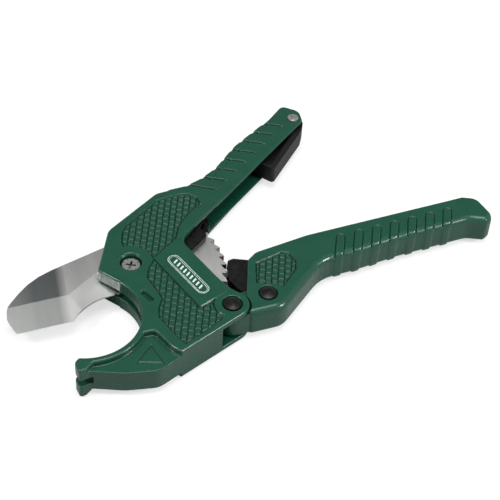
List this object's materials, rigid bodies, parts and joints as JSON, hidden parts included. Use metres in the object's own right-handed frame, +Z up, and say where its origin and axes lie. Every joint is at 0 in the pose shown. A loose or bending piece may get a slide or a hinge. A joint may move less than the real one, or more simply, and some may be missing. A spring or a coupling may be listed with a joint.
{
  "type": "plastic pipe cutter",
  "caption": "Hand-held ratcheting cutter for plastic pipe with a hooked jaw, a swinging bevelled blade, two handles and a closing latch.",
  "frame": {"origin": "blade pivot axis where it meets the rest plane (the back face of the body)", "axes": "+X along the fixed handle towards its end, +Z up through the thickness of the tool lying on its back face, +Y away from the moving handle; the jaw faces -X"},
  "size_m": [0.1948, 0.1464, 0.017],
  "materials": {
    "green_enamel": "semi-gloss enamel over die casting",
    "blade_steel": "brushed, ground bevels",
    "bush_bronze": "machined",
    "bright_steel": "zinc plated",
    "black_oxide": "black oxide",
    "spring_steel": "drawn wire",
    "black_plastic": "moulded, satin"
  },
  "bodies": {
    "frame": {"frame_casting": "green_enamel", "blade_washers": "bright_steel", "blade_screw": "bright_steel", "lock_washer": "bright_steel", "blade_nut": "bright_steel", "handle_pin": "black_oxide", "handle_pin_clip": "black_oxide", "stop_pawl_pin": "bright_steel", "stop_pawl_spring": "spring_steel", "latch_rivet": "bright_steel", "latch_washers": "bright_steel"},
    "bush": {"blade_bush": "bush_bronze"},
    "blade": {"blade": "blade_steel"},
    "handle": {"handle_casting": "green_enamel", "handle_spring": "spring_steel", "pawl_pin": "black_oxide", "pawl_pin_clip": "black_oxide", "drive_pawl_spring": "spring_steel"},
    "drive_pawl": {"drive_pawl": "black_oxide"},
    "stop_pawl": {"stop_pawl": "black_oxide"},
    "latch": {"latch_lever": "black_plastic"}
  },
  "joints": [
    {"name": "blade_stroke", "type": "hinge", "parent": "frame", "child": "bush", "pos_m": [0, 0, 0.0081], "axis": [0, 0, 1], "range_deg": [0, 14.6]},
    {"name": "ratchet_advance", "type": "hinge", "parent": "bush", "child": "blade", "pos_m": [0, 0, 0.0081], "axis": [0, 0, 1], "range_deg": [-29.2, 36.5]},
    {"name": "handle_pivot", "type": "hinge", "parent": "frame", "child": "handle", "pos_m": [0.0048, -0.0493, 0.0081], "axis": [0, 0, 1], "range_deg": [0, 36], "stiffness_Nm_per_rad": 0.4, "springref_deg": -28.65},
    {"name": "drive_pawl_swing", "type": "hinge", "parent": "handle", "child": "drive_pawl", "pos_m": [0.0197, -0.0577, 0.0081], "axis": [0, 0, 1], "range_deg": [-42.8, 0]},
    {"name": "stop_pawl_swing", "type": "hinge", "parent": "frame", "child": "stop_pawl", "pos_m": [0.0465, -0.0035, 0.0081], "axis": [0, 0, -1], "range_deg": [0, 12.5]},
    {"name": "latch_swing", "type": "hinge", "parent": "frame", "child": "latch", "pos_m": [0.1266, -0.0044, 0.0081], "axis": [0, 0, 1], "range_deg": [0, 22]}
  ],
  "couplings": [
    {"joint": "blade_stroke", "follows": "handle_pivot", "ratio": 0.40555},
    {"joint": "drive_pawl_swing", "follows": "handle_pivot", "ratio": -1.1863}
  ]
}
